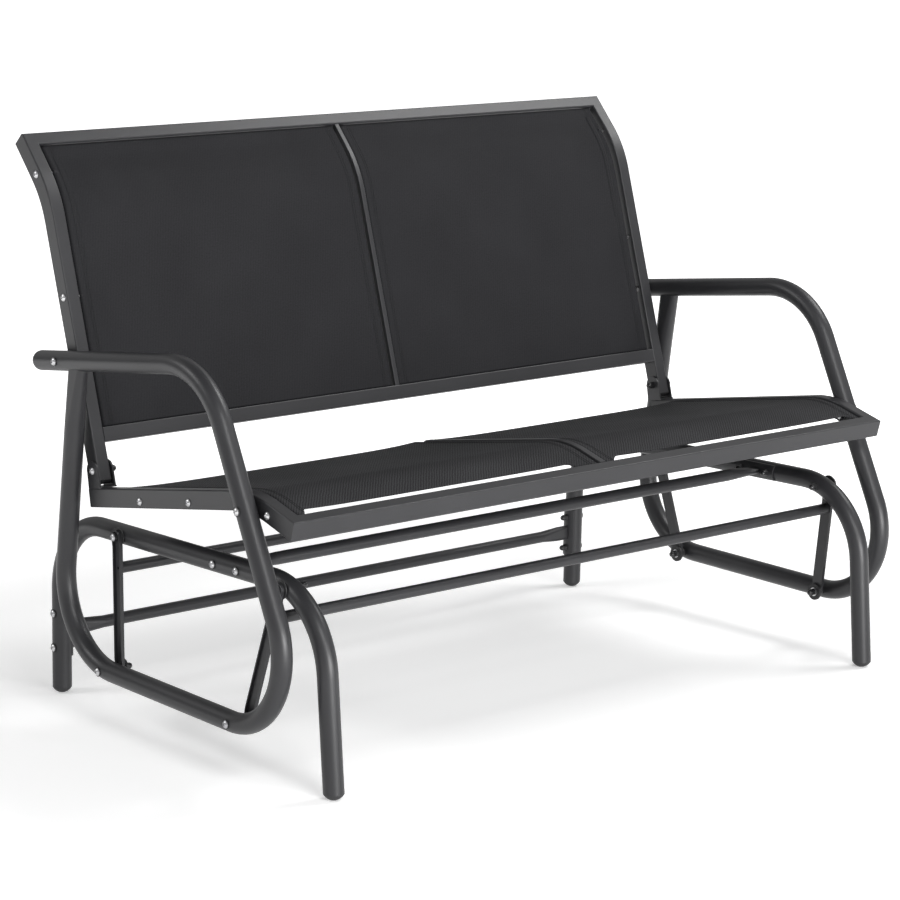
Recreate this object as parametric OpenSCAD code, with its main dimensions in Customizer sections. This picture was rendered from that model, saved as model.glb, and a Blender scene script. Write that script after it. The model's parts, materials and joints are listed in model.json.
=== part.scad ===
// Two-seat glider bench: a sling seat that hangs from a standing tube base.
// Units are millimetres. Left and right are those of a person facing the bench:
// X points to the right, Y to the back and Z up.
// The floor is z = 0. Four links hang from the base and carry the seat.

/* [Seat] */
// Distance between the outer faces of the seat side rails
seat_width = 1157.4; // [1050:0.2:1300]
// Width of the side rails, seen from above
rail_width = 21; // [19:0.5:24]
// Height of the side rails and of the front rail face
rail_height = 28; // [26:0.5:30]
// Distance from the rail tops down to the sling surface
sling_drop = 1.8; // [1.5:0.1:3]
// Thickness of the sling cloth
cloth = 0.8; // [0.6:0.1:1.2]
// Radius of the rods inside the sling hems
rod_r = 4.5; // [4:0.1:4.8]
// Gap between the front rail and the front edge of the sling
front_gap = 14.4; // [10:0.2:24]
// Width of the bar between the two seat slings
seat_bar_width = 11; // [9:0.5:12]
// Width of the bar between the two back slings
centre_bar_width = 8; // [6:0.5:9]

/* [Back] */
// Width of the back side tubes, seen from the front
back_tube_width = 21; // [19:0.5:22]
// Depth of the back tubes, front to rear
back_tube_depth = 27; // [26:0.5:28]
// Height of the top rail face
top_rail_height = 20.5; // [18:0.5:21]
// Height of the lower rail face
low_rail_height = 22; // [20:0.5:24]

/* [Base and arms] */
// Outside diameter of the base tubes and the arm tubes
tube_d = 30; // [29:0.5:31]
// Wall thickness of every tube
wall = 1.5; // [1.2:0.1:2]
// Gap between a seat side rail and the arm tube beside it
arm_gap = 0.5; // [0.4:0.1:1]
// Distance from the rail faces inward to the base tube centres
base_inset = 49.3; // [49:0.1:52]
// Outside diameter of the two base crossbars
crossbar_d = 19; // [17:0.5:20]
// Outside diameter of the bars that join the links
link_bar_d = 17; // [15:0.5:18]

/* [Links] */
// Width of the pressed steel links
link_width = 20; // [18.5:0.5:21]
// Depth of the link lips
link_depth = 5.4; // [5:0.2:8.2]
// Thickness of the link metal
link_sheet = 2; // [1.5:0.1:2.2]

/* [Fit] */
// Radial clearance of a bolt in a bush or a hole
slip = 0.05; // [0.03:0.01:0.08]
// Sideways gap between parts that turn against each other
side_gap = 0.4; // [0.35:0.05:0.5]

/* [View] */
// Sub-part to draw, or all

/* [Hidden] */
$fn = 64;
facets = 32;
sides = [-1, 1];
hair = 0.05;
lap = 0.1;

// Half widths
rail_x = seat_width / 2;
rail_in_x = rail_x - rail_width;
tube_r = tube_d / 2;
bore_r = tube_r - wall;
arm_x = rail_x + arm_gap + tube_r;
arm_in_x = arm_x - tube_r;
arm_out_x = arm_x + tube_r;
base_x = rail_x - base_inset;
base_in_x = base_x - tube_r;
base_out_x = base_x + tube_r;
back_x = rail_x - 3;
back_in_x = back_x - back_tube_width;

// Fasteners
bolt_r = 3;
hole_r = bolt_r + slip;
head_r = 5.6;
head_h = 3.6;
head_dome_r = 6.8;
nut_r = 5.77;
washer_r = 7;
upper_flange = 5.5;
washer_t = 0.8;

// Pivot points in the side view, as [y, z]
front_top = [-250, 279.7];
front_low = [-206, 90];
rear_top = [152, 282.6];
rear_low = [117, 95];
back_pivot = [167, 383];
arm_end_bolt = [214.5, 542.5];
arm_rail_bolt = [-239, 396];

// Base tube path, front foot to rear foot
foot_h = 9;
foot_flat = 0.35;
foot_dome = (pow(tube_r, 2) + pow(foot_h + foot_flat, 2)) / (2 * (foot_h + foot_flat)) + 0.1;
base_path = [[-345.5, 0], [-325.8, 286.7], [335.3, 281.1], [345.24, 0]];
base_bends = [122, 121];
front_foot = along(base_path[0], base_path[1], foot_h);
rear_foot = along(base_path[3], base_path[2], foot_h);

// Arm tube path, rear end of the arm round to the top of the rear upright
arm_path = [[270, 536], [-150.7, 584], [-385.2, 87], [245.3, 97.5], [217.8, 246.3], [187.2, 447]];
arm_bends = [124, 115, 123.5, 250];
upright_top = [173.3, 538];
upright_long = 37;
upright_thin = 17;

// Seat rail path along the top edge, front to rear
seat_path = [[-327, 390.5], [-228, 418.9], [178, 355.1]];
seat_bend = 175;
seat_end_y = 118;
rod_drop = sling_drop + rod_r + cloth;
sleeve_r = rod_r + cloth;
seat_rod_x = rail_in_x - 2.4 - sleeve_r;
centre_rod_x = centre_bar_width / 2 + 1.5 + sleeve_r;
seat_centre_rod_x = seat_bar_width / 2 + 0.7 + sleeve_r;
rear_rail_y0 = 98;
rear_rail_y1 = 118;
rear_rail_drop = rod_drop + sleeve_r + 0.1;

// Back tube path along the front edge, bottom to top
back_path = [[151.6, 371.3], [269.8, 784], [341.2, 864.2]];
back_bend = 180;
low_rail_s = 54.9;
back_rod_drop = 5 + sleeve_r;
back_rod_x = back_in_x - 4.5 - sleeve_r;

// Bolts that hold the sling rods
seat_rod_bolts = [[43.5, 357.8], [-79.2, 377.1], [-266.5, 390.6]];
back_rod_bolts = [[303.8, 806.5], [237.7, 630.9]];

// Crossbars on the base
front_bar = [-115, 284.9];
rear_bar = [341.9, 100];
front_bar_bolts = [[-86.6, 284.7], [-143.2, 285.2]];
rear_bar_bolts = [[340.9, 127.5], [342.9, 73]];
saddle_t = 2.2;
saddle_r = tube_r + saddle_t;

// Links
link_top_x = base_out_x + 2.1;
link_low_x = arm_in_x - 12.2;
link_end = 14;
front_link_bar = [-240, 237];
rear_link_bar = [144, 237.5];
bush_r = 4.5;

// ---------- path helpers ----------

function along(a, b, d) = a + (b - a) * d / norm(b - a);
function heading(a, b) = atan2(b[1] - a[1], b[0] - a[0]);
function wrap(a) = a > 180 ? a - 360 : a < -180 ? a + 360 : a;
function turn(p, i) = wrap(heading(p[i], p[i + 1]) - heading(p[i - 1], p[i]));
function inner(p, i) = i > 0 && i < len(p) - 1;
function setback(p, r, i) = inner(p, i) ? r[i - 1] * tan(abs(turn(p, i)) / 2) : 0;
function line_z(a, b, y) = a[1] + (b[1] - a[1]) * (y - a[0]) / (b[0] - a[0]);

// Part of the seat path, from a distance behind its front to a given y
function seat_run(s, y) = [
  along(seat_path[0], seat_path[1], s), seat_path[1], [y, line_z(seat_path[1], seat_path[2], y)]
];

// Part of the back path, from a distance above its foot to one below its top
function back_run(s, e) = [
  along(back_path[0], back_path[1], s), back_path[1], along(back_path[2], back_path[1], e)
];

// ---------- drawing helpers ----------

// Places children in the side view: local x is Y, local y is Z, local z is X
module side_view() {
  rotate([90, 0, 90]) children();
}

module on_side(s) {
  if (s > 0) {
    children();
  } else {
    mirror([1, 0, 0]) children();
  }
}

module round_rect(x0, y0, x1, y1, c) {
  translate([x0 + c, y0]) square([x1 - x0 - 2 * c, y1 - y0]);
  translate([x0, y0 + c]) square([x1 - x0, y1 - y0 - 2 * c]);
  for (x = [x0 + c, x1 - c], y = [y0 + c, y1 - c]) {
    translate([x, y]) circle(r = c);
  }
}

// One cross-section: [offset, x, radius, bore radius] is round,
// [offset0, offset1, x0, x1, corner, wall] is a rounded rectangle.
// The offset is measured to the left of the direction of travel.
// A bore radius or a wall of 0 makes the section solid.
// Bends are drawn a hair thicker than straight runs, and lap over them.
module section(c, side, from, grow) {
  if (len(c) == 4) {
    translate([from + side * c[0], c[1]]) difference() {
      circle(r = c[2] + grow);
      if (c[3] > 0) circle(r = c[3] - grow);
    }
  } else {
    lo = min(from + side * c[0], from + side * c[1]) - grow;
    hi = max(from + side * c[0], from + side * c[1]) + grow;
    w = c[5] + 2 * grow;
    difference() {
      round_rect(lo, c[2] - grow, hi, c[3] + grow, c[4]);
      if (c[5] > 0) round_rect(lo + w, c[2] - grow + w, hi - w, c[3] + grow - w, 0.6);
    }
  }
}

module straight_run(p, r, i, c) {
  a = along(p[i], p[i + 1], setback(p, r, i));
  l = norm(p[i + 1] - p[i]) - setback(p, r, i) - setback(p, r, i + 1);
  translate([a[0], a[1], 0]) rotate([0, 0, heading(p[i], p[i + 1])])
    rotate([90, 0, 90]) linear_extrude(l) section(c, 1, 0, 0);
}

module bend_run(p, r, i, c) {
  h = heading(p[i - 1], p[i]);
  t = turn(p, i);
  a = along(p[i], p[i - 1], setback(p, r, i));
  m = a + sign(t) * r[i - 1] * [-sin(h), cos(h)];
  extra = lap / r[i - 1] * 180 / PI;
  translate([m[0], m[1], 0]) rotate([0, 0, (t > 0 ? h - 90 : h + t + 90) - extra])
    rotate_extrude(angle = abs(t) + 2 * extra) section(c, -sign(t), r[i - 1], hair);
}

// Full ring that follows one bend of a round tube
module bend_ring(p, r, i, x, tube) {
  h = heading(p[i - 1], p[i]);
  a = along(p[i], p[i - 1], setback(p, r, i));
  m = a + sign(turn(p, i)) * r[i - 1] * [-sin(h), cos(h)];
  side_view() translate([m[0], m[1], x]) rotate_extrude() translate([r[i - 1], 0]) circle(r = tube);
}

// A bar with straight runs and circular bends, drawn in the side view plane
module bent_bar(p, r, c) {
  side_view() {
    for (i = [0 : len(p) - 2]) {
      straight_run(p, r, i, c);
    }
    for (i = [1 : 1 : len(p) - 2]) {
      bend_run(p, r, i, c);
    }
  }
}

// A box section tube along the seat or back path
module box_tube(p, r, depth, x0, x1, corner) {
  bent_bar(p, r, [-depth, 0, x0, x1, corner, wall]);
}

// Local frame on the side view path: x along the run, y to its left, z is X
module at_run(a, b, s) {
  q = along(a, b, s);
  side_view() translate([q[0], q[1], 0]) rotate([0, 0, heading(a, b)]) children();
}

// Round bar along X at a side view point
module pin(p, x0, x1, r) {
  translate([x0, p[0], p[1]]) rotate([0, 90, 0]) cylinder(h = x1 - x0, r = r);
}

module ring(p, x0, x1, r, hole) {
  difference() {
    pin(p, x0, x1, r);
    pin(p, x0 - 1, x1 + 1, hole);
  }
}

// Button head bolt. The head stands on the face and points away from the middle.
module bolt(p, face, reach) {
  translate([face, p[0], p[1]]) rotate([0, 90, 0]) difference() {
    union() {
      intersection() {
        translate([0, 0, head_h - head_dome_r]) sphere(r = head_dome_r);
        cylinder(h = head_h, r = head_r);
      }
      translate([0, 0, -reach]) cylinder(h = reach + 0.5, r = bolt_r);
    }
    translate([0, 0, head_h - 2]) cylinder(h = 3, r = 2.3, $fn = 6);
  }
}

// Domed nut. It stands on the face and points towards the middle.
module dome_nut(p, face) {
  translate([face, p[0], p[1]]) rotate([0, -90, 0]) difference() {
    union() {
      cylinder(h = 5, r = nut_r, $fn = 6);
      cylinder(h = 8, r = 4.7);
      translate([0, 0, 8]) sphere(r = 4.7);
    }
    translate([0, 0, -1]) cylinder(h = 10.5, r = hole_r);
  }
}

module thin_nut(p, face) {
  translate([face, p[0], p[1]]) rotate([0, -90, 0]) difference() {
    cylinder(h = 3.6, r = nut_r, $fn = 6);
    translate([0, 0, -1]) cylinder(h = 6, r = hole_r);
  }
}

// ---------- base ----------

module base_side(s) {
  color([0.09, 0.09, 0.095]) on_side(s) difference() {
    bent_bar(base_path, base_bends, [0, base_x, tube_r, bore_r]);
    translate([base_x - 40, -400, -40]) cube([80, 800, 40 + foot_h]);
    for (p = concat([front_top, rear_top], front_bar_bolts, rear_bar_bolts)) {
      pin(p, base_in_x - 5, base_out_x + 5, hole_r);
    }
  }
}

// Glide cap that closes the end of a leg
module foot_cap(s, p) {
  color([0.02, 0.02, 0.02]) translate([s * base_x, p[0], 0]) {
    rotate_extrude() intersection() {
      square([tube_r, foot_h]);
      translate([0, foot_dome - foot_flat]) circle(r = foot_dome);
    }
    translate([0, 0, foot_h - 1]) cylinder(h = 14, r = bore_r - 1.4);
  }
}

// Half of a crossbar: a round tube whose end is pressed flat.
// The flat is wide along Y when tall is false, or along Z when it is true.
module crossbar_half(p, tall, wide, thin, length) {
  start = base_in_x - length;
  r = crossbar_d / 2;
  turn_by = tall ? 0 : 90;
  translate([0, p[0], p[1]]) rotate([0, 90, 0]) {
    difference() {
      cylinder(h = start, r = r);
      translate([0, 0, -1]) cylinder(h = start + 2, r = r - 1.2);
    }
    rotate([0, 0, turn_by]) difference() {
      hull() {
        translate([0, 0, start - 0.5]) cylinder(h = 0.5, r = r - 0.05, $fn = facets);
        for (k = sides) {
          translate([k * (wide - thin) / 2, 0, start + length * 0.6])
            cylinder(h = length * 0.4 + 3, r = thin / 2, $fn = facets);
        }
      }
      hull() {
        translate([0, 0, start - 1]) cylinder(h = 0.5, r = r - 1.35, $fn = facets);
        for (k = sides) {
          translate([k * (wide - thin) / 2, 0, start + length * 0.6])
            cylinder(h = length * 0.4 + 4, r = thin / 2 - 1.2, $fn = facets);
        }
      }
    }
  }
}

module base_front_crossbar() {
  color([0.09, 0.09, 0.095]) difference() {
    for (s = sides) {
      on_side(s) crossbar_half(front_bar, false, 26, 7, 60);
    }
    for (s = sides) {
      on_side(s) front_run_cut(saddle_r, 140);
    }
  }
}

module base_rear_crossbar() {
  color([0.09, 0.09, 0.095]) difference() {
    for (s = sides) {
      on_side(s) crossbar_half(rear_bar, true, 25, 7, 60);
    }
    for (s = sides) {
      on_side(s) rear_run_cut(saddle_r, 140);
    }
  }
}

// Round bars centred on the base tube beside each crossbar
module front_run_cut(r, l) {
  at_run(base_path[1], base_path[2], front_bar[0] - base_path[1][0])
    translate([-l / 2, 0, base_x]) rotate([0, 90, 0]) cylinder(h = l, r = r);
}

module rear_run_cut(r, l) {
  at_run(base_path[2], base_path[3], base_path[2][1] - rear_bar[1])
    translate([-l / 2, 0, base_x]) rotate([0, 90, 0]) cylinder(h = l, r = r);
}

// Curved plate that wraps the inner side of the base tube
module saddle(s, front) {
  bolts = front ? front_bar_bolts : rear_bar_bolts;
  a = front ? base_path[1] : base_path[2];
  b = front ? base_path[2] : base_path[3];
  d = front ? front_bar[0] - base_path[1][0] : base_path[2][1] - rear_bar[1];
  color([0.09, 0.09, 0.095]) on_side(s) difference() {
    intersection() {
      at_run(a, b, d) translate([-41, 0, base_x]) rotate([0, 90, 0]) cylinder(h = 82, r = saddle_r);
      at_run(a, b, d) translate([-41, -12.5, base_x - 20]) cube([82, 25, 20 - 8]);
    }
    at_run(a, b, d) translate([-60, 0, base_x]) rotate([0, 90, 0]) cylinder(h = 120, r = tube_r);
    for (p = bolts) {
      pin(p, base_in_x - 10, base_in_x + 10, hole_r);
    }
  }
}

module crossbar_bolts() {
  color([0.75, 0.76, 0.78]) for (s = sides, p = concat(front_bar_bolts, rear_bar_bolts)) {
    on_side(s) bolt(p, base_out_x + washer_t, tube_d + saddle_t + 8);
  }
}

module upper_pivot_bolts() {
  face = link_top_x + link_sheet + upper_flange + side_gap + washer_t;
  color([0.75, 0.76, 0.78]) for (s = sides, p = [front_top, rear_top]) {
    on_side(s) bolt(p, face, face - base_in_x + 9);
  }
}

module base_nuts() {
  color([0.03, 0.03, 0.03]) for (s = sides) {
    for (p = concat(front_bar_bolts, rear_bar_bolts)) {
      on_side(s) dome_nut(p, base_in_x - saddle_t);
    }
    for (p = [front_top, rear_top]) {
      on_side(s) dome_nut(p, base_in_x - washer_t);
    }
  }
}

module base_washers() {
  face = link_top_x + link_sheet + upper_flange + side_gap;
  color([0.03, 0.03, 0.03]) for (s = sides) {
    for (p = concat(front_bar_bolts, rear_bar_bolts)) {
      on_side(s) ring(p, base_out_x + hair, base_out_x + washer_t, washer_r, hole_r);
    }
    for (p = [front_top, rear_top]) {
      on_side(s) ring(p, base_in_x - washer_t, base_in_x - hair, washer_r, hole_r);
      on_side(s) ring(p, face, face + washer_t, 6.4, hole_r);
    }
  }
}

// ---------- links ----------

module link_outline(l, r, depth) {
  linear_extrude(depth) {
    circle(r = r);
    translate([-r, 0]) square([2 * r, l]);
    translate([0, l]) circle(r = r);
  }
}

// Slab that steps outward from the upper pivot plane to the lower one
module joggle(l, low, top, thick, width) {
  rotate([90, 0, 90]) linear_extrude(width, center = true) polygon([
    [-20, low], [link_end, low], [l - link_end, top], [l + 20, top],
    [l + 20, top + thick], [l - link_end, top + thick], [link_end, low + thick], [-20, low + thick]
  ]);
}

module link_frame(low, top) {
  side_view() translate([low[0], low[1], 0]) rotate([0, 0, heading(low, top) - 90]) children();
}

module link(s, low, top, bar, eye) {
  l = norm(top - low);
  r = link_width / 2;
  color([0.09, 0.09, 0.095]) on_side(s) difference() {
    link_frame(low, top) difference() {
      intersection() {
        joggle(l, link_low_x, link_top_x, link_depth, link_width + 4);
        translate([0, 0, link_top_x - 5]) link_outline(l, r, 60);
      }
      intersection() {
        joggle(l, link_low_x + link_sheet, link_top_x + link_sheet, 20, link_width + 4);
        translate([0, 0, link_top_x - 5]) link_outline(l, r - link_sheet, 60);
      }
    }
    pin(top, link_top_x - 5, link_top_x + 20, bush_r + slip);
    pin(low, link_low_x - 5, link_low_x + 20, eye);
    pin(bar, link_top_x - 5, link_low_x + 20, 2.5);
  }
}

// Bar welded between the webs of a pair of links
module link_bar(low, top, p) {
  l = norm(top - low);
  color([0.09, 0.09, 0.095]) difference() {
    pin(p, -link_low_x, link_low_x, link_bar_d / 2);
    pin(p, -link_low_x - 1, link_low_x + 1, link_bar_d / 2 - wall);
    for (s = sides) {
      on_side(s) link_frame(low, top) joggle(l, link_low_x, link_top_x, 60, 60);
    }
  }
}

// Flanged bush in the top of each link: inner flange, barrel, outer flange
module upper_bushes(p) {
  color([0.02, 0.02, 0.02]) for (s = sides) {
    on_side(s) difference() {
      union() {
        pin(p, base_out_x + side_gap, link_top_x, 14);
        pin(p, link_top_x - 0.5, link_top_x + link_sheet + 0.5, bush_r);
        pin(p, link_top_x + link_sheet, link_top_x + link_sheet + upper_flange, 6.6);
      }
      pin(p, base_out_x - 5, link_top_x + 30, hole_r);
    }
  }
}

module rear_lower_bushes() {
  color([0.02, 0.02, 0.02]) for (s = sides) {
    on_side(s) difference() {
      union() {
        pin(rear_low, link_low_x - 3, link_low_x, 13.5);
        pin(rear_low, link_low_x - 0.5, link_low_x + link_sheet + 0.5, bush_r);
        pin(rear_low, link_low_x + link_sheet, link_low_x + link_sheet + 4, 6.4);
      }
      pin(rear_low, link_low_x - 10, link_low_x + 30, hole_r);
    }
  }
}

// ---------- seat frame ----------

module arm_loop(s) {
  a = arm_path[4];
  b = arm_path[5];
  rise = norm(upright_top - b);
  color([0.09, 0.09, 0.095]) on_side(s) difference() {
    union() {
      bent_bar(arm_path, arm_bends, [0, arm_x, tube_r, bore_r]);
      at_run(arm_path[0], arm_path[1], 0) translate([0, 0, arm_x]) rotate([0, -90, 0]) difference() {
        intersection() {
          sphere(r = tube_r + hair);
          translate([0, 0, -0.2]) cylinder(h = tube_r + 1, r = tube_r + 1);
        }
        sphere(r = bore_r - hair);
      }
      difference() {
        at_run(a, b, norm(b - a)) translate([0, 0, arm_x]) rotate([0, 90, 0]) difference() {
          pressed_end(rise, tube_r - 0.05, upright_long, upright_thin, 0);
          pressed_end(rise, bore_r - 0.2, upright_long - 2 * wall, upright_thin - 2 * wall, 1);
        }
        at_run(arm_path[1], arm_path[0], 0) translate([0, 0, arm_x]) rotate([0, 90, 0])
          cylinder(h = 500, r = tube_r - 0.8);
      }
    }
    for (p = [front_low, rear_low, arm_rail_bolt, arm_end_bolt]) {
      pin(p, arm_in_x - 5, arm_out_x + 5, hole_r);
    }
  }
}

// Round tube end pressed flat towards its top
module pressed_end(rise, r, long, thin, extra) {
  hull() {
    translate([0, 0, -0.5 - extra]) cylinder(h = 0.5, r = r, $fn = facets);
    for (k = sides) {
      translate([0, k * (long - thin) / 2, rise - 6]) cylinder(h = 6 + extra, r = thin / 2, $fn = facets);
    }
  }
}

// Wedge that trims a rail end along its mitre
module mitre(a, b, x_out, x_in, run, keep) {
  at_run(a, b, 0) rotate([90, 0, 0]) translate([0, 0, -60]) linear_extrude(120) polygon(
    keep ? [[0, x_out], [run, x_in], [run + 20, x_in - 20 * (x_out - x_in) / run], [run + 20, x_out + 10],
      [-10, x_out + 10], [-10, x_out + 10 * (x_out - x_in) / run]]
    : [[0, x_out], [run, x_in], [run + 5, x_in - 5 * (x_out - x_in) / run], [-30, x_in - 20], [-30, x_out + 30],
      [-5, x_out + 5 * (x_out - x_in) / run]]
  );
}

module seat_side_rail(s) {
  color([0.09, 0.09, 0.095]) on_side(s) difference() {
    box_tube(seat_path, [seat_bend], rail_height, rail_in_x, rail_x, 2);
    mitre(seat_path[0], seat_path[1], rail_x, rail_in_x, rail_width, false);
    for (p = concat(seat_rod_bolts, [arm_rail_bolt])) {
      pin(p, rail_in_x - 5, rail_x + 5, hole_r);
    }
  }
}

// Straight rail across the bench, drawn on a side view run
module cross_rail(a, b, s0, s1, n0, n1, half) {
  at_run(a, b, 0) translate([0, 0, -half]) difference() {
    linear_extrude(2 * half) round_rect(s0, n0, s1, n1, 2);
    translate([0, 0, -1]) linear_extrude(2 * half + 2)
      round_rect(s0 + wall, n0 + wall, s1 - wall, n1 - wall, 0.6);
  }
}

module seat_front_rail() {
  a = seat_path[0];
  b = seat_path[1];
  color([0.09, 0.09, 0.095]) difference() {
    cross_rail(a, b, 0, rail_width, -rail_height, 0, rail_x);
    for (s = sides) {
      on_side(s) mitre(a, b, rail_x, rail_in_x, rail_width, true);
      translate([s * seat_centre_rod_x, 0, 0]) seat_rod_bar(rail_width - 4, seat_end_y, rod_r + slip);
    }
  }
}

module seat_rear_rail() {
  a = seat_path[1];
  b = seat_path[2];
  s0 = norm([rear_rail_y0, line_z(a, b, rear_rail_y0)] - a);
  color([0.09, 0.09, 0.095])
    cross_rail(a, b, s0, s0 + rear_rail_y1 - rear_rail_y0, -rail_height, -rear_rail_drop, rail_in_x);
}

module seat_centre_bar() {
  color([0.09, 0.09, 0.095])
    bent_bar(seat_run(rail_width, rear_rail_y0), [seat_bend],
      [-22, 0, -seat_bar_width / 2, seat_bar_width / 2, 1, 0]);
}

// U shaped bracket that clamps the foot of the back tube
module hinge_bracket(s) {
  in0 = back_in_x - 4.2;
  color([0.09, 0.09, 0.095]) on_side(s) difference() {
    union() {
      intersection() {
        side_view() translate([0, 0, in0]) linear_extrude(rail_x - in0) union() {
          translate(back_pivot) circle(r = 14.5);
          polygon([
            [back_pivot[0] - 14.5, back_pivot[1]], [back_pivot[0] + 14.5, back_pivot[1]],
            [176.5, 350], [144.5, 350]
          ]);
        }
        union() {
          translate([in0, 0, 0]) cube([2.5, 400, 500]);
          translate([rail_x - 2.6, 0, 0]) cube([2.6, 400, 500]);
        }
      }
      bracket_floor(in0);
    }
    bracket_trim(in0);
    pin(back_pivot, in0 - 5, rail_x + 5, hole_r);
  }
}

module bracket_floor(in0) {
  a = seat_path[1];
  b = seat_path[2];
  s0 = norm([145.2, line_z(a, b, 145.2)] - a);
  at_run(a, b, s0) translate([0, 0, in0]) cube([32, 2.2, rail_x - in0]);
}

module bracket_trim(in0) {
  at_run(seat_path[1], seat_path[2], 0) translate([0, -60, in0 - 5]) cube([500, 60, rail_x - in0 + 10]);
}

module back_side_tube(s) {
  color([0.09, 0.09, 0.095]) on_side(s) difference() {
    box_tube(back_path, [back_bend], back_tube_depth, back_in_x, back_x, 2);
    mitre(back_path[2], back_path[1], back_x, back_in_x, top_rail_height, false);
    for (p = concat(back_rod_bolts, [back_pivot, arm_end_bolt])) {
      pin(p, back_in_x - 5, back_x + 5, hole_r);
    }
  }
}

module back_top_rail() {
  a = back_path[2];
  b = back_path[1];
  color([0.09, 0.09, 0.095]) difference() {
    cross_rail(a, b, 0, top_rail_height, 0, back_tube_depth, back_x);
    for (s = sides) {
      on_side(s) mitre(a, b, back_x, back_in_x, top_rail_height, true);
      translate([s * centre_rod_x, 0, 0]) back_rod_bar(rod_r + slip);
    }
  }
}

module back_low_rail() {
  color([0.09, 0.09, 0.095]) difference() {
    cross_rail(back_path[0], back_path[1], low_rail_s, low_rail_s + low_rail_height,
      -back_tube_depth, 0, back_in_x);
    for (s = sides) {
      translate([s * centre_rod_x, 0, 0]) back_rod_bar(rod_r + slip);
    }
  }
}

module back_centre_bar() {
  color([0.09, 0.09, 0.095])
    bent_bar(back_run(low_rail_s + low_rail_height, top_rail_height), [back_bend],
      [-22, -2, -centre_bar_width / 2, centre_bar_width / 2, 1, 0]);
}

// Plastic plug in the foot of a back side tube
module back_plug(s) {
  m = (back_in_x + back_x) / 2;
  d = back_tube_depth;
  w = back_tube_width;
  color([0.02, 0.02, 0.02]) on_side(s) at_run(back_path[0], back_path[1], 0) {
    intersection() {
      translate([-5.5, 0.5 - d, back_in_x + 0.5]) cube([5.5, d - 1, w - 1]);
      translate([10.5, -d / 2, back_in_x]) cylinder(h = w, r = d / 2 + 3.5);
    }
    translate([-1, wall + 0.4 - d, back_in_x + wall + 0.4])
      cube([5, d - 2 * wall - 0.8, w - 2 * wall - 0.8]);
  }
}

// ---------- sling rods and slings ----------

module seat_rod_bar(s0, y1, r) {
  bent_bar(seat_run(s0, y1), [seat_bend], [-rod_drop, 0, r, 0]);
}

module back_rod_bar(r) {
  bent_bar(back_run(low_rail_s + low_rail_height - 4, top_rail_height - 4), [back_bend],
    [-back_rod_drop, 0, r, 0]);
}

module seat_rods(s) {
  color([0.2, 0.2, 0.2]) {
    difference() {
      translate([s * seat_rod_x, 0, 0]) seat_rod_bar(29, seat_end_y + 2, rod_r);
      for (p = seat_rod_bolts) {
        on_side(s) pin(p, seat_rod_x - 8, rail_x, hole_r);
      }
    }
    translate([s * seat_centre_rod_x, 0, 0]) seat_rod_bar(rail_width - 3, seat_end_y + 2, rod_r);
    for (p = seat_rod_bolts) {
      on_side(s) seat_lug(p);
    }
  }
}

// Lug that joins a seat rod to its bolt, below the hem sleeve
module seat_lug(p) {
  difference() {
    translate([seat_rod_x - 3, 0, 0]) side_view() linear_extrude(6) union() {
      translate(p) circle(r = 6);
      translate(p + [-5, 0]) square([10, 11]);
    }
    pin(p, seat_rod_x - 8, rail_x, hole_r);
  }
}

module back_rods(s) {
  color([0.2, 0.2, 0.2]) {
    difference() {
      translate([s * back_rod_x, 0, 0])
        bent_bar(back_run(low_rail_s + low_rail_height + 3, top_rail_height + 3), [back_bend],
          [-back_rod_drop, 0, rod_r, 0]);
      for (p = back_rod_bolts) {
        on_side(s) pin(p, back_rod_x - 8, back_x, hole_r);
      }
    }
    translate([s * centre_rod_x, 0, 0]) back_rod_bar(rod_r);
    for (p = back_rod_bolts) {
      on_side(s) difference() {
        translate([back_rod_x - 3, 0, 0]) side_view() translate(p) linear_extrude(6) circle(r = 6);
        pin(p, back_rod_x - 8, back_x, hole_r);
      }
    }
  }
}

// Cloth panel with a hem sleeve round each rod
module sling(p, bend, drop, depth, x0, x1) {
  bent_bar(p, [bend], [-drop - cloth + 0.1, -drop, x0, x1, 0.1, 0]);
  for (x = [x0, x1]) {
    bent_bar(p, [bend], [-depth, x, sleeve_r, rod_r + slip + 2 * hair]);
  }
}

module seat_sling(s) {
  p = seat_run(rail_width + front_gap, seat_end_y);
  color([0.04, 0.04, 0.045]) difference() {
    on_side(s) sling(p, seat_bend, sling_drop, rod_drop, seat_centre_rod_x, seat_rod_x);
    for (q = seat_rod_bolts) {
      on_side(s) translate([seat_rod_x - 3.3, q[0] - 6.5, q[1] - 8]) cube([6.6, 13, 17]);
    }
  }
}

module back_sling(s) {
  p = back_run(low_rail_s + low_rail_height + 1.5, top_rail_height + 1);
  color([0.03, 0.03, 0.035]) difference() {
    on_side(s) sling(p, back_bend, 5, back_rod_drop, centre_rod_x, back_rod_x);
    for (q = back_rod_bolts) {
      on_side(s) pin(q, back_rod_x - 3.2, back_rod_x + 8, 6.8);
    }
  }
}

// ---------- seat fasteners ----------

module rod_bolts() {
  color([0.75, 0.76, 0.78]) for (s = sides) {
    for (p = seat_rod_bolts) {
      on_side(s) bolt(p, rail_x + hair, rail_x - seat_rod_x + 3);
    }
    for (p = back_rod_bolts) {
      on_side(s) bolt(p, back_x + hair, back_x - back_rod_x + 3);
    }
  }
}

module arm_bolts() {
  color([0.75, 0.76, 0.78]) for (s = sides) {
    on_side(s) bolt(arm_rail_bolt, arm_out_x + washer_t, arm_out_x + washer_t - rail_in_x + 3.4);
    on_side(s) bolt(arm_end_bolt, arm_out_x + washer_t, arm_out_x + washer_t - back_in_x + 3.4);
  }
}

module arm_nuts() {
  color([0.75, 0.76, 0.78]) for (s = sides) {
    on_side(s) thin_nut(arm_rail_bolt, rail_in_x - hair);
    on_side(s) thin_nut(arm_end_bolt, back_in_x);
  }
}

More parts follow.
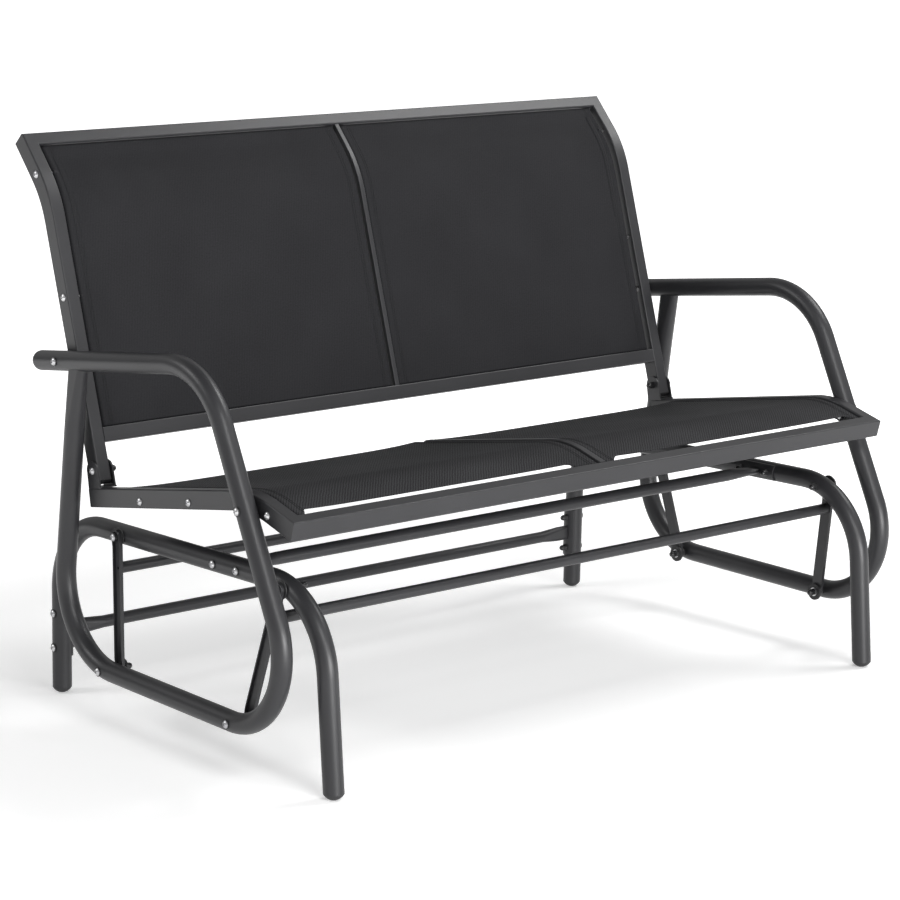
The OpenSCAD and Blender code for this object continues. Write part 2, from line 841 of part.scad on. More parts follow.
// Black washers under the outer heads, and a spacer between arm and back tube
module arm_washers() {
  color([0.02, 0.02, 0.02]) for (s = sides) {
    for (p = [arm_rail_bolt, arm_end_bolt, front_low, rear_low]) {
      on_side(s) ring(p, arm_out_x + hair, arm_out_x + washer_t, washer_r, hole_r);
    }
    on_side(s) ring(arm_end_bolt, back_x, arm_in_x, washer_r, hole_r);
  }
}

module back_pivot_bolts() {
  in0 = back_in_x - 4.2;
  color([0.75, 0.76, 0.78]) for (s = sides) {
    on_side(s) bolt(back_pivot, rail_x, rail_x - in0 + 9);
  }
}

module lower_pivot_bolts() {
  color([0.75, 0.76, 0.78]) for (s = sides, p = [front_low, rear_low]) {
    on_side(s) bolt(p, arm_out_x + washer_t, arm_out_x + washer_t - link_low_x + 13);
  }
}

module seat_nuts() {
  color([0.03, 0.03, 0.03]) for (s = sides) {
    on_side(s) dome_nut(back_pivot, back_in_x - 4.2);
    for (p = [front_low, rear_low]) {
      on_side(s) dome_nut(p, link_low_x - 3 - side_gap - washer_t);
    }
  }
}

module lower_pivot_washers() {
  face = link_low_x - 3 - side_gap;
  color([0.75, 0.76, 0.78]) for (s = sides, p = [front_low, rear_low]) {
    on_side(s) ring(p, face - washer_t, face, washer_r, hole_r);
  }
}

// Spacers between the links and the arm tubes, narrower inside the link's channel
module lower_spacers() {
  color([0.02, 0.02, 0.02]) for (s = sides) {
    on_side(s) lower_spacer(front_low, 2);
    on_side(s) lower_spacer(rear_low, 3);
  }
}

module lower_spacer(p, i) {
  difference() {
    union() {
      pin(p, link_low_x + link_sheet + 4 + side_gap, arm_in_x, bush_r + 0.5);
      pin(p, link_low_x + max(link_depth, link_sheet + 4) + side_gap, arm_in_x + 2.5, washer_r);
    }
    pin(p, arm_in_x - 30, arm_in_x + 10, hole_r);
    bend_ring(arm_path, arm_bends, i, arm_x, tube_r + 2 * hair);
  }
}

// The front lower pivots have their bushes on the bolts, with play in the link eye
module front_lower_bushes() {
  color([0.02, 0.02, 0.02]) for (s = sides) {
    on_side(s) difference() {
      union() {
        pin(front_low, link_low_x - 3 - side_gap, link_low_x - side_gap, 13.5);
        pin(front_low, link_low_x - side_gap - 0.5, link_low_x + link_sheet + 4 + side_gap, bush_r);
      }
      pin(front_low, link_low_x - 10, link_low_x + 30, hole_r);
    }
  }
}

// ---------- assembly ----------

base_side(-1);  // base_side_left
base_side(1);  // base_side_right
foot_cap(-1, front_foot);  // foot_cap_front_left
foot_cap(1, front_foot);  // foot_cap_front_right
foot_cap(-1, rear_foot);  // foot_cap_rear_left
foot_cap(1, rear_foot);  // foot_cap_rear_right
base_front_crossbar();
base_rear_crossbar();
saddle(-1, true);  // saddle_front_left
saddle(1, true);  // saddle_front_right
saddle(-1, false);  // saddle_rear_left
saddle(1, false);  // saddle_rear_right
crossbar_bolts();
upper_pivot_bolts();
base_nuts();
base_washers();
link(-1, rear_low, rear_top, rear_link_bar, bush_r + slip);  // rear_link_left
link(1, rear_low, rear_top, rear_link_bar, bush_r + slip);  // rear_link_right
link_bar(rear_low, rear_top, rear_link_bar);
upper_bushes(rear_top);  // rear_upper_bushes
rear_lower_bushes();
link(-1, front_low, front_top, front_link_bar, 7.1);  // front_link_left
link(1, front_low, front_top, front_link_bar, 7.1);  // front_link_right
link_bar(front_low, front_top, front_link_bar);
upper_bushes(front_top);  // front_upper_bushes
arm_loop(-1);  // arm_loop_left
arm_loop(1);  // arm_loop_right
seat_side_rail(-1);  // seat_side_rail_left
seat_side_rail(1);  // seat_side_rail_right
seat_front_rail();
seat_rear_rail();
seat_centre_bar();
hinge_bracket(-1);  // hinge_bracket_left
hinge_bracket(1);  // hinge_bracket_right
back_side_tube(-1);  // back_side_tube_left
back_side_tube(1);  // back_side_tube_right
back_top_rail();
back_low_rail();
back_centre_bar();
back_plug(-1);  // back_plug_left
back_plug(1);  // back_plug_right
seat_rods(-1);  // seat_rods_left
seat_rods(1);  // seat_rods_right
back_rods(-1);  // back_rods_left
back_rods(1);  // back_rods_right
seat_sling(-1);  // seat_sling_left
seat_sling(1);  // seat_sling_right
back_sling(-1);  // back_sling_left
back_sling(1);  // back_sling_right
rod_bolts();
arm_bolts();
arm_nuts();
arm_washers();
back_pivot_bolts();
lower_pivot_bolts();
lower_pivot_washers();
seat_nuts();
lower_spacers();
front_lower_bushes();
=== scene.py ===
"""Looks of the two-seat glider bench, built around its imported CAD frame. Metres."""
import math

import bmesh
import bpy
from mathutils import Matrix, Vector
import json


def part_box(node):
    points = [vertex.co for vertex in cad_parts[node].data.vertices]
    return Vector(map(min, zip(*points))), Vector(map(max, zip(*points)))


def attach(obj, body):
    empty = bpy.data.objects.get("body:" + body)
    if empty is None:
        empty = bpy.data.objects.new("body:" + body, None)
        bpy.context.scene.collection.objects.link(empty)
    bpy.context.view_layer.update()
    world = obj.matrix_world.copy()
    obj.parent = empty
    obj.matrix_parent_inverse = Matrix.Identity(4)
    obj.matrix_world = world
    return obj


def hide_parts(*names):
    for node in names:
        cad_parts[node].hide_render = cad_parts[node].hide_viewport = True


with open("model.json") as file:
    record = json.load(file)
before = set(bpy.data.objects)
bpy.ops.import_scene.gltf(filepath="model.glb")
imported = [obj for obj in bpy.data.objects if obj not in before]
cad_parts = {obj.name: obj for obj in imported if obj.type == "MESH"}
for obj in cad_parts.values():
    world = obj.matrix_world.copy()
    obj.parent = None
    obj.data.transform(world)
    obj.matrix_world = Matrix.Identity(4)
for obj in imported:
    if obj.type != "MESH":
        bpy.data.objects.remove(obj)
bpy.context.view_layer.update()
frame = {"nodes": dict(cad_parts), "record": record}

# The seat rail's top edge and the back tube's front edge in side view, as (y, z) corners
SEAT_PATH = ((-0.327, 0.3905), (-0.228, 0.4189), (0.178, 0.3551))
SEAT_BEND = 0.175
BACK_PATH = ((0.1516, 0.3713), (0.2698, 0.784), (0.3412, 0.8642))
BACK_BEND = 0.180

# The sling panels and what they hang on
CLOTH = 0.0008
HAIR = 0.0001
ROD_R = 0.0045
SLEEVE_R = ROD_R + HAIR / 2 + CLOTH / 2
SLEEVE_ROOM = ROD_R + CLOTH
SEAT_ROD_X = 0.0115
BACK_ROD_X = 0.0108
SEAT_SIDE_GAP = 0.0024
BACK_SIDE_GAP = 0.0045
SEAT_DROP = 0.0018
BACK_DROP = 0.005
SIDES = {"left": -1, "right": 1}

# The seat panels' edges: distance of the front edge along the rail, ears that reach forward at the
# rods, as (reach, fade) in x at the centre, and the bow of the rear edge
FRONT_RAIL = 0.021
SEAT_FRONT = FRONT_RAIL + 0.0174
EAR_LENGTH = 0.0168
SIDE_EAR_REACH = 0.017
SIDE_EAR_FADE = 0.013
CENTRE_EARS = {"left": (0.044, 0.010), "right": (0.032, 0.026)}
SEAT_REAR_Y = 0.118
REAR_BOW = 0.009
SEAT_SAG = 0.0032

# The back panels' edges, and how far they lie behind their sleeves at the low and the top end
LOW_RAIL_S = 0.0549
LOW_RAIL = 0.022
TOP_RAIL = 0.0205
BACK_TOP_GAP = 0.001
BACK_TOP_FADE = 0.03
BACK_SAG = 0.0015
BACK_SET_BACK = (0.0003, 0.0014)
LIP_FADE = 0.006
SET_BACK_FADE = 0.12

# Seams and hems
SEAM_STEPS = (0.0165, 0.0125, 0.009, 0.0075)
SLEEVE_MEET = 0.0072
SEAM_ROWS = (0.0085, 0.0125)
SEAM_END = 0.002
HEM_CLOTH = 0.0006
HEM_MARGIN = 0.009
HEM_STEP = 0.003
FLAT_FOLD = [(0.011, -CLOTH - 1.5 * HAIR), (0.0015, -CLOTH - 1.5 * HAIR)]
ROUND_FOLD = [(0.0004, -0.0009), (-0.0002, -0.0005), (-0.0001, 0.0001), (0.0006, 0.0003),
              (0.0016, 0.0001)]
STITCH_PITCH = 0.0042
STITCH_LIFT = 0.00025
STITCH_SHARE = 0.38
STITCH_SIDES = 6
STITCH_SPINDLE = ((-1.0, 0.0002), (-0.5, 0.00042), (0.5, 0.00042), (1.0, 0.0002))
SEAT_UP = (0, -0.15, 0.98)
BACK_UP = (0, -0.96, 0.27)

# Mesh steps
SLEEVE_STEPS = 18
PANEL_COLUMNS = 56
PANEL_ROWS = 110
HEM_COLUMNS = 80

# The cloth's weave, and the direction in x and y in which its slanting ribs repeat
WARP_PITCH = 0.0022
WEFT_PITCH = 0.0018
RIB_PITCH = 0.0037
RIB_SLANT = (0.77, -0.64)


# ---------- paths ----------

class Run:
    """A bent bar's edge in side view: straight, arc, straight."""

    def __init__(self, corners, radius):
        a, b, c = (Vector(p) for p in corners)
        self.start = a
        self.d0 = (b - a).normalized()
        self.d1 = (c - b).normalized()
        self.h0 = math.atan2(self.d0.y, self.d0.x)
        self.turn = math.atan2(self.d1.y, self.d1.x) - self.h0
        self.radius = radius
        setback = radius * math.tan(abs(self.turn) / 2)
        self.first = (b - a).length - setback
        self.arc = radius * abs(self.turn)
        self.bend_end = b + self.d1 * setback
        self.length = self.first + self.arc + (c - b).length - setback

    def at(self, s):
        """Point, and the normal to the left of travel, at a distance along the edge."""
        if s <= self.first:
            return self.start + self.d0 * s, self.left(self.h0)
        if s >= self.first + self.arc:
            past = s - self.first - self.arc
            return self.bend_end + self.d1 * past, self.left(self.h0 + self.turn)
        swept = (s - self.first) / self.radius * math.copysign(1, self.turn)
        side = math.copysign(self.radius, self.turn)
        centre = self.start + self.d0 * self.first + self.left(self.h0) * side
        return centre - self.left(self.h0 + swept) * side, self.left(self.h0 + swept)

    @staticmethod
    def left(heading):
        return Vector((-math.sin(heading), math.cos(heading)))


SEAT = Run(SEAT_PATH, SEAT_BEND)
BACK = Run(BACK_PATH, BACK_BEND)


def seat_s(y):
    """Distance along the seat edge at a y on its rear straight."""
    return SEAT.first + SEAT.arc + (y - SEAT.bend_end.x) / SEAT.d1.x


# ---------- material helpers ----------

def new_material(name, colour, rough, metallic=0.0, **sockets):
    material = bpy.data.materials.new(name)
    material.use_nodes = True
    tree = material.node_tree
    shader = tree.nodes["Principled BSDF"]
    shader.inputs["Base Color"].default_value = (*colour, 1)
    shader.inputs["Roughness"].default_value = rough
    shader.inputs["Metallic"].default_value = metallic
    for key, value in sockets.items():
        shader.inputs[key.replace("_", " ")].default_value = value
    return material, tree, shader


def add(tree, kind, values=None, **settings):
    """A node with its settings, and numbers or links for its inputs."""
    node = tree.nodes.new(kind)
    for key, value in settings.items():
        setattr(node, key, value)
    for key, value in (values or {}).items():
        if isinstance(value, bpy.types.NodeSocket):
            tree.links.new(value, node.inputs[key])
        else:
            node.inputs[key].default_value = value
    return node


def ramp(tree, factor, low, high, start=0.0, end=1.0):
    """Colour that goes from low to high as the factor goes from start to end."""
    node = add(tree, "ShaderNodeValToRGB", {"Fac": factor})
    node.color_ramp.elements[0].position = start
    node.color_ramp.elements[0].color = (*low, 1)
    node.color_ramp.elements[1].position = end
    node.color_ramp.elements[1].color = (*high, 1)
    return node.outputs["Color"]


def to_range(tree, value, low, high):
    node = add(tree, "ShaderNodeMapRange", {"Value": value, "To Min": low, "To Max": high})
    return node.outputs["Result"]


def times(tree, a, b):
    return add(tree, "ShaderNodeMath", {0: a, 1: b}, operation="MULTIPLY").outputs[0]


def plus(tree, a, b):
    return add(tree, "ShaderNodeMath", {0: a, 1: b}, operation="ADD").outputs[0]


def wave(tree, angle):
    return add(tree, "ShaderNodeMath", {0: angle}, operation="SINE").outputs[0]


def noise(tree, where, scale, detail=3.0, rough=0.5):
    node = add(tree, "ShaderNodeTexNoise",
               {"Vector": where, "Scale": scale, "Detail": detail, "Roughness": rough})
    return node.outputs["Fac"]


def place(tree):
    return add(tree, "ShaderNodeTexCoord").outputs["Object"]


def bump(tree, shader, height, strength, distance):
    node = add(tree, "ShaderNodeBump",
               {"Height": height, "Strength": strength, "Distance": distance})
    tree.links.new(node.outputs["Normal"], shader.inputs["Normal"])


# ---------- materials ----------

def powder_coat():
    """Dark grey coat on the frame, with a faint orange peel."""
    material, tree, shader = new_material("powder_coat", (0.021, 0.021, 0.023), 0.38,
                                          Specular_IOR_Level=0.4)
    where = place(tree)
    broad = noise(tree, where, 9.0, 2.0)
    fine = noise(tree, where, 900.0, 2.0)
    colour = ramp(tree, broad, (0.0195, 0.0195, 0.0213), (0.0230, 0.0230, 0.0250), 0.3, 0.7)
    tree.links.new(colour, shader.inputs["Base Color"])
    tree.links.new(to_range(tree, fine, 0.33, 0.45), shader.inputs["Roughness"])
    bump(tree, shader, fine, 0.25, 0.0002)
    return material


def rod_steel():
    """Dull dark steel of the rods inside the sleeves."""
    material, tree, shader = new_material("rod_steel", (0.014, 0.014, 0.015), 0.7,
                                          Specular_IOR_Level=0.2)
    grain = noise(tree, place(tree), 300.0, 3.0)
    colour = ramp(tree, grain, (0.011, 0.011, 0.012), (0.018, 0.018, 0.020))
    tree.links.new(colour, shader.inputs["Base Color"])
    tree.links.new(to_range(tree, grain, 0.62, 0.8), shader.inputs["Roughness"])
    bump(tree, shader, grain, 0.15, 0.0001)
    return material


def zinc():
    """Plated steel of bolts, uneven from place to place."""
    material, tree, shader = new_material("zinc", (0.42, 0.42, 0.43), 0.3, 1.0)
    where = place(tree)
    grain = noise(tree, where, 600.0, 3.0)
    tint = noise(tree, where, 40.0, 2.0)
    colour = ramp(tree, tint, (0.42, 0.42, 0.44), (0.70, 0.70, 0.70), 0.3, 0.7)
    tree.links.new(colour, shader.inputs["Base Color"])
    tree.links.new(to_range(tree, grain, 0.2, 0.4), shader.inputs["Roughness"])
    bump(tree, shader, grain, 0.15, 0.0001)
    return material


def black_nut():
    """Glossy black of the domed nuts."""
    material, tree, shader = new_material("black_nut", (0.012, 0.012, 0.013), 0.28)
    grain = noise(tree, place(tree), 500.0, 2.0)
    colour = ramp(tree, grain, (0.010, 0.010, 0.011), (0.018, 0.018, 0.019))
    tree.links.new(colour, shader.inputs["Base Color"])
    tree.links.new(to_range(tree, grain, 0.22, 0.36), shader.inputs["Roughness"])
    bump(tree, shader, grain, 0.1, 0.0001)
    return material


def black_plastic():
    """Moulded black of foot caps, bushes, plugs and plastic washers."""
    material, tree, shader = new_material("black_plastic", (0.012, 0.012, 0.013), 0.55)
    grain = noise(tree, place(tree), 1400.0, 3.0)
    colour = ramp(tree, grain, (0.010, 0.010, 0.011), (0.017, 0.017, 0.018))
    tree.links.new(colour, shader.inputs["Base Color"])
    tree.links.new(to_range(tree, grain, 0.48, 0.66), shader.inputs["Roughness"])
    bump(tree, shader, grain, 0.3, 0.0001)
    return material


def sling_cloth(name, dark, light, ribs):
    """Coated mesh cloth: a fine weave, with slanting ribs that are as strong as ribs says."""
    material, tree, shader = new_material(name, light, 0.8, Specular_IOR_Level=0.15)
    where = add(tree, "ShaderNodeUVMap", uv_map="cloth").outputs["UV"]
    parts = add(tree, "ShaderNodeSeparateXYZ", {0: where})
    warp = wave(tree, times(tree, parts.outputs["X"], math.tau / WARP_PITCH))
    weft = wave(tree, times(tree, parts.outputs["Y"], math.tau / WEFT_PITCH))
    weave = to_range(tree, times(tree, warp, weft), 0.0, 1.0)
    spot = add(tree, "ShaderNodeSeparateXYZ", {0: place(tree)})
    across, along = RIB_SLANT
    slant = plus(tree, times(tree, spot.outputs["X"], across * math.tau / RIB_PITCH),
                 times(tree, spot.outputs["Y"], along * math.tau / RIB_PITCH))
    wander = times(tree, noise(tree, where, 60.0, 2.0), 5.0)
    rib = times(tree, wave(tree, plus(tree, slant, wander)), ribs)
    grain = noise(tree, where, 420.0, 2.0, 0.6)
    patches = noise(tree, where, 7.0, 2.0)
    mixed = plus(tree, times(tree, grain, 0.7), times(tree, patches, 0.3))
    shade = plus(tree, mixed, rib)
    tree.links.new(ramp(tree, shade, dark, light, 0.2, 0.8), shader.inputs["Base Color"])
    tree.links.new(to_range(tree, weave, 0.7, 0.9), shader.inputs["Roughness"])
    bump(tree, shader, weave, 0.3, 0.0003)
    return material


def thread():
    """Black sewing thread."""
    material, tree, shader = new_material("thread", (0.014, 0.014, 0.015), 0.7,
                                          Specular_IOR_Level=0.2)
    twist = noise(tree, place(tree), 2500.0, 1.0)
    colour = ramp(tree, twist, (0.009, 0.009, 0.010), (0.020, 0.020, 0.021))
    tree.links.new(colour, shader.inputs["Base Color"])
    bump(tree, shader, twist, 0.4, 0.0001)
    return material


MATERIALS = {
    "powder_coat": powder_coat(),
    "rod_steel": rod_steel(),
    "zinc": zinc(),
    "black_nut": black_nut(),
    "black_plastic": black_plastic(),
    "seat_sling": sling_cloth("seat_cloth", (0.005, 0.005, 0.0055), (0.048, 0.048, 0.051), 0.17),
    "back_sling": sling_cloth("back_cloth", (0.0055, 0.0055, 0.0065), (0.0185, 0.0185, 0.0205),
                              0.05),
}
THREAD = thread()


def finish_cad_nodes():
    """Gives every CAD node the material of its slot in the record."""
    for row in frame["record"]["subparts"]:
        node = frame["nodes"][row["node"]]
        node.data.materials.clear()
        node.data.materials.append(MATERIALS[row["material_slot"]])


# ---------- slings ----------

def sleeve(rod, to_panel):
    """Half profile of a sleeve as (x, height over the panel): from the sewn end, round the rod and
    up to the panel. to_panel is the x direction from the rod towards the panel."""
    centre = -SLEEVE_R
    under = -CLOTH - HAIR
    points = [(rod + to_panel * d, under) for d in SEAM_STEPS]
    meet = Vector((-SLEEVE_MEET, under - centre))
    start = math.atan2(meet.y, meet.x) + math.acos(SLEEVE_R / meet.length)
    top = math.pi / 2 + math.tau
    for k in range(SLEEVE_STEPS + 1):
        angle = start + (top - start) * k / SLEEVE_STEPS
        points.append((rod - to_panel * SLEEVE_R * math.cos(angle),
                       centre + SLEEVE_R * math.sin(angle)))
    return points


def profile(inner, outer):
    """Whole cross profile as (x, height), from the inner rod's sewn end to the outer one's."""
    first = sleeve(inner, 1)
    last = sleeve(outer, -1)
    spread = [(1 - math.cos(math.pi * k / PANEL_COLUMNS)) / 2 for k in range(1, PANEL_COLUMNS)]
    panel = [(inner + (outer - inner) * t, 0.0) for t in spread]
    return first + panel + last[::-1]


def clamp(t):
    return min(max(t, 0.0), 1.0)


def ease(t):
    t = clamp(t)
    return t * t * (3 - 2 * t)


class Panel:
    """One stretched panel. start and end give, for an x, the distances along the run where the
    cloth begins and ends. sag and set_back give depths at a distance along the run."""

    def __init__(self, part, label, run, rods, drop, start, end, sag, set_back):
        self.part = part
        self.label = label
        self.side = SIDES[label]
        self.run = run
        self.inner, self.outer = rods
        self.drop = drop
        self.start = start
        self.end = end
        self.sag = sag
        self.set_back = set_back
        self.slot = f"{part}_sling"

    def slack(self, x, s):
        """How far the cloth sinks between its rods: quickly at first, then almost flat."""
        t = clamp((x - self.inner) / (self.outer - self.inner))
        return self.sag(s) * (1 - (1 - 4 * t * (1 - t)) ** 3)

    def lip(self, x, s):
        """How far the cloth lies behind the outer sleeve's front, a little way in from it."""
        return (self.set_back(s) * ease((self.outer - x) / LIP_FADE)
                * ease((x - self.inner) / SET_BACK_FADE))

    def point(self, x, s, low):
        """A point of the cloth, x from the middle of the bench, at a distance along the run."""
        point, normal = self.run.at(s)
        point = point + normal * (-self.drop - CLOTH / 2 + low)
        return Vector((self.side * x, point.x, point.y))


def link_piece(name, mesh):
    piece = bpy.data.objects.new(name, mesh)
    bpy.context.scene.collection.objects.link(piece)
    return piece


def sheet_mesh(name, rows, across, down, slot, thickness):
    """A cloth piece from a grid of points, with its flat place in metres as UVs."""
    mesh = bpy.data.meshes.new(name)
    wide = len(rows[0])
    verts = [v for row in rows for v in row]
    faces = []
    for i in range(len(rows) - 1):
        for j in range(wide - 1):
            a = i * wide + j
            faces.append((a, a + 1, a + wide + 1, a + wide))
    mesh.from_pydata(verts, [], faces)
    uv = mesh.uv_layers.new(name="cloth")
    for loop in mesh.loops:
        i, j = divmod(loop.vertex_index, wide)
        uv.data[loop.index].uv = (across[j], down[i])
    mesh.polygons.foreach_set("use_smooth", [True] * len(mesh.polygons))
    mesh.materials.append(MATERIALS[slot])
    piece = link_piece(name, mesh)
    skin = piece.modifiers.new("thickness", "SOLIDIFY")
    skin.thickness = thickness
    skin.offset = 0
    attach(piece, "seat")
    return piece


def cloth(panel):
    """The panel with a hem sleeve on each rod, and its flat size."""
    outline = profile(panel.inner, panel.outer)
    across = [0.0]
    for p, q in zip(outline, outline[1:]):
        across.append(across[-1] + math.dist(p, q))
    grid = []
    for i in range(PANEL_ROWS + 1):
        line = []
        for x, low in outline:
            s = panel.start(x) + (panel.end(x) - panel.start(x)) * i / PANEL_ROWS
            sunk = panel.slack(x, s)
            if low == 0:
                sunk += panel.lip(x, s)
            line.append(panel.point(x, s, low - sunk))
        grid.append(line)
    middle = (panel.inner + panel.outer) / 2
    length = panel.end(middle) - panel.start(middle)
    down = [length * i / PANEL_ROWS for i in range(PANEL_ROWS + 1)]
    piece = sheet_mesh(f"{panel.part}_cloth_{panel.label}", grid, across, down, panel.slot, CLOTH)
    return piece, (across[-1], length)


def hem(panel, edge_name, edge, inward, fold):
    """Hem under a free edge, also round it if the fold goes there. fold has the outline as
    (distance in from the edge, height over the panel)."""
    wide = panel.outer - panel.inner
    grid = []
    for d, low in fold:
        line = []
        for k in range(HEM_COLUMNS + 1):
            x = panel.inner + HEM_MARGIN + (wide - 2 * HEM_MARGIN) * k / HEM_COLUMNS
            s = edge(x) + inward * d
            line.append(panel.point(x, s, low - panel.slack(x, s) - panel.lip(x, s)))
        grid.append(line)
    across = [wide * k / HEM_COLUMNS for k in range(HEM_COLUMNS + 1)]
    down = [HEM_STEP * i for i in range(len(fold))]
    name = f"{panel.part}_hem_{edge_name}_{panel.label}"
    return sheet_mesh(name, grid, across, down, panel.slot, HEM_CLOTH)


def stitch(bm, a, b, up):
    """One short raised stitch between two points of a seam, as a spindle."""
    middle = (a + b) / 2 + up * STITCH_LIFT
    axis = (b - a).normalized()
    across = axis.cross(up).normalized()
    half = (b - a).length * STITCH_SHARE
    rings = []
    for reach, size in STITCH_SPINDLE:
        ring = []
        for k in range(STITCH_SIDES):
            angle = math.tau * k / STITCH_SIDES
            offset = across * math.cos(angle) * size + up * math.sin(angle) * size
            ring.append(bm.verts.new(middle + axis * reach * half + offset))
        rings.append(ring)
    for near, far in zip(rings, rings[1:]):
        for k in range(STITCH_SIDES):
            after = (k + 1) % STITCH_SIDES
            bm.faces.new((near[k], near[after], far[after], far[k]))
    bm.faces.new(rings[0][::-1])
    bm.faces.new(rings[-1])


def seam(panel, x):
    """Points along a seam that runs with the rods."""
    start = panel.start(x)
    count = int((panel.end(x) - start - 2 * SEAM_END) / STITCH_PITCH)
    points = []
    for i in range(count + 1):
        s = start + SEAM_END + STITCH_PITCH * i
        points.append(panel.point(x, s, CLOTH / 2 - panel.slack(x, s) - panel.lip(x, s)))
    return points


def stitches(panel, up):
    """Two rows of stitches beside each sleeve. up is the cloth's outward direction."""
    bm = bmesh.new()
    near, far = SEAM_ROWS
    for x in (panel.inner + near, panel.inner + far, panel.outer - near, panel.outer - far):
        points = seam(panel, x)
        for a, b in zip(points, points[1:]):
            stitch(bm, a, b, up)
    name = f"{panel.part}_stitches_{panel.label}"
    mesh = bpy.data.meshes.new(name)
    bm.normal_update()
    bm.to_mesh(mesh)
    bm.free()
    mesh.polygons.foreach_set("use_smooth", [True] * len(mesh.polygons))
    mesh.materials.append(THREAD)
    piece = link_piece(name, mesh)
    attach(piece, "seat")
    return piece


def sling(panel, up, fold, edge_names):
    """The panel with its seams and hems, in place of the frame's rigid one."""
    piece, flat = cloth(panel)
    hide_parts(f"{panel.part}_sling_{panel.label}")
    first, last = edge_names
    with_pieces = [stitches(panel, up),
                   hem(panel, first, panel.start, 1, fold),
                   hem(panel, last, panel.end, -1, fold)]


def seat_slings():
    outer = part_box("seat_side_rail_right")[0][0] - SEAT_SIDE_GAP - SLEEVE_ROOM
    rear = seat_s(SEAT_REAR_Y)

    def front_edge(reach, fade):
        """A front edge with an ear at each rod that reaches forward, nearly to the rail."""
        def start(x):
            centre_ear = ease((reach - (x - SEAT_ROD_X)) / fade)
            side_ear = ease((SIDE_EAR_REACH - (outer - x)) / SIDE_EAR_FADE)
            return SEAT_FRONT - EAR_LENGTH * max(centre_ear, side_ear)
        return start

    def rear_edge(x):
        t = clamp((x - SEAT_ROD_X) / (outer - SEAT_ROD_X))
        return rear - REAR_BOW * (1 - (2 * t - 1) ** 4)

    def sag(s):
        return SEAT_SAG

    def set_back(s):
        return 0.0

    for label in SIDES:
        panel = Panel("seat", label, SEAT, (SEAT_ROD_X, outer), SEAT_DROP,
                      front_edge(*CENTRE_EARS[label]), rear_edge, sag, set_back)
        sling(panel, Vector(SEAT_UP), FLAT_FOLD + ROUND_FOLD, ("front", "rear"))


def back_slings():
    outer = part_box("back_side_tube_right")[0][0] - BACK_SIDE_GAP - SLEEVE_ROOM
    low = LOW_RAIL_S + LOW_RAIL + 2 * HAIR
    top = BACK.length - TOP_RAIL - BACK_TOP_GAP

    def start(x):
        return low

    def end(x):
        return top

    def flatten(s):
        """1 on the panel, 0 at its top edge, which lies straight along the rail."""
        return ease((top - s) / BACK_TOP_FADE)

    def sag(s):
        return BACK_SAG * flatten(s)

    def set_back(s):
        at_low, at_top = BACK_SET_BACK
        return (at_low + (at_top - at_low) * ease((s - low) / (top - low))) * flatten(s)

    for label in SIDES:
        panel = Panel("back", label, BACK, (BACK_ROD_X, outer), BACK_DROP,
                      start, end, sag, set_back)
        sling(panel, Vector(BACK_UP), FLAT_FOLD, ("low", "top"))


# ---------- stage ----------

# The floor, and how strongly it glows at a near and a far distance from the bench
FLOOR_HALF = 40.0
GLOW_REACH = (0.9, 2.4)
GLOW = (0.3, 1.0)

# Brightness of the world by height, 0.5 at the horizon
SKY_LOW = (0.15, 0.15)
SKY_HIGH = (0.85, 0.1)
SKY_PALE = ((0.35, 0.6), (0.6, 0.6))

# Lamps: name, place, target, size, watts
BENCH = (0, 0, 0.4)
LAMPS = (("front", (-0.3, -4.3, 0.6), BENCH, (2.0, 1.0), 170),
         ("high", (-1.45, -3.95, 3.2), BENCH, (1.6, 1.0), 70),
         ("side", (2.6, -0.8, 3.6), (0, 0.3, 0.8), (1.6, 1.6), 75),
         ("rear", (-3.64, 2.1, 3.2), BENCH, (1.6, 1.0), 45))

# Camera place, and its pitch and heading in degrees
SENSOR_MM = 36
LENS_MM = 115.59
CAMERA_AT = (-2.8183, -3.3536, 1.2432)
CAMERA_TURN = (78.68, -39.67)


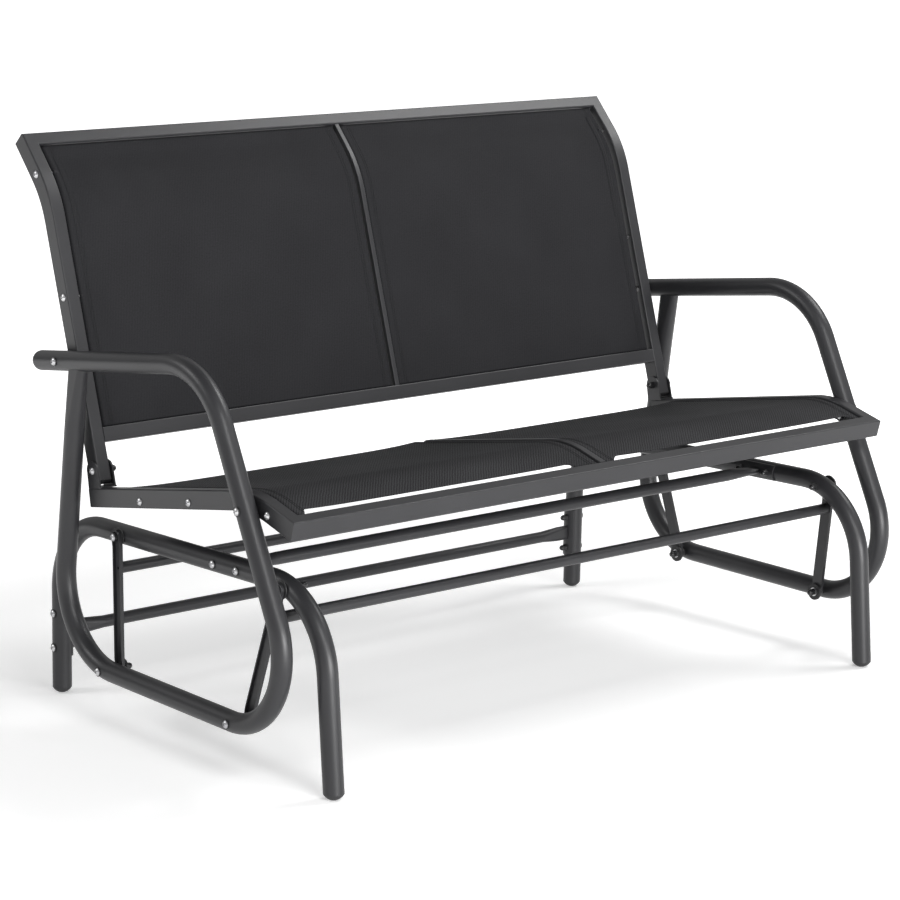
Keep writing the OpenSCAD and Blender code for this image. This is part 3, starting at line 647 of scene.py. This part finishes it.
def floor():
    """Pale floor that glows with painted light, weakly round the bench and more strongly further
    out, so that it has no horizon.
    """
    mesh = bpy.data.meshes.new("floor")
    half = FLOOR_HALF
    corners = [(-half, -half, 0), (half, -half, 0), (half, half, 0), (-half, half, 0)]
    mesh.from_pydata(corners, [], [(0, 1, 2, 3)])
    material, tree, shader = new_material("floor", (0.95, 0.95, 0.95), 0.9, Specular_IOR_Level=0.1)
    shader.inputs["Emission Color"].default_value = (1, 1, 1, 1)
    # Painted glow: emission that is weaker near the bench, where its shadow falls, and stronger
    # further out
    far = add(tree, "ShaderNodeVectorMath", {0: place(tree)}, operation="LENGTH").outputs["Value"]
    near_edge, far_edge = GLOW_REACH
    dim, bright = GLOW
    glow = add(tree, "ShaderNodeMapRange", {"Value": far, "From Min": near_edge,
                                            "From Max": far_edge, "To Min": dim,
                                            "To Max": bright})
    tree.links.new(glow.outputs["Result"], shader.inputs["Emission Strength"])
    mesh.materials.append(material)
    link_piece("floor", mesh)


def area_light(name, place_at, target, size, power):
    """A soft rectangular lamp that faces its target."""
    light = bpy.data.lights.new(name, "AREA")
    light.shape = "RECTANGLE"
    light.size, light.size_y = size
    light.energy = power
    lamp = bpy.data.objects.new(name, light)
    lamp.location = place_at
    aim = Vector(target) - Vector(place_at)
    lamp.rotation_euler = aim.to_track_quat("-Z", "Y").to_euler()
    bpy.context.scene.collection.objects.link(lamp)


def sky_world():
    """A world that is pale at mid height, dim below and above, and plain white to the camera."""
    world = bpy.data.worlds.new("studio")
    world.use_nodes = True
    tree = world.node_tree
    direction = add(tree, "ShaderNodeTexCoord").outputs["Generated"]
    height = add(tree, "ShaderNodeSeparateXYZ", {0: direction})
    sky = add(tree, "ShaderNodeValToRGB", {"Fac": height.outputs["Z"]})
    marks = sky.color_ramp.elements
    for mark, (level, grey) in zip(marks, (SKY_LOW, SKY_HIGH)):
        mark.position = level
        mark.color = (grey, grey, grey, 1)
    for level, grey in SKY_PALE:
        marks.new(level).color = (grey, grey, grey, 1)
    seen = add(tree, "ShaderNodeLightPath").outputs["Is Camera Ray"]
    mixed = add(tree, "ShaderNodeMix", {"Factor": seen, 6: sky.outputs["Color"], 7: (1, 1, 1, 1)},
                data_type="RGBA")
    tree.links.new(mixed.outputs[2], tree.nodes["Background"].inputs["Color"])
    bpy.context.scene.world = world


def lamps():
    for row in LAMPS:
        area_light(*row)


def camera():
    data = bpy.data.cameras.new("camera")
    data.sensor_width = SENSOR_MM
    data.lens = LENS_MM
    view = bpy.data.objects.new("camera", data)
    view.location = CAMERA_AT
    pitch, heading = CAMERA_TURN
    view.rotation_euler = (math.radians(pitch), 0, math.radians(heading))
    bpy.context.scene.collection.objects.link(view)
    bpy.context.scene.camera = view


bpy.context.scene.view_settings.view_transform = "Standard"
camera()
floor()
sky_world()
lamps()
finish_cad_nodes()
seat_slings()
back_slings()
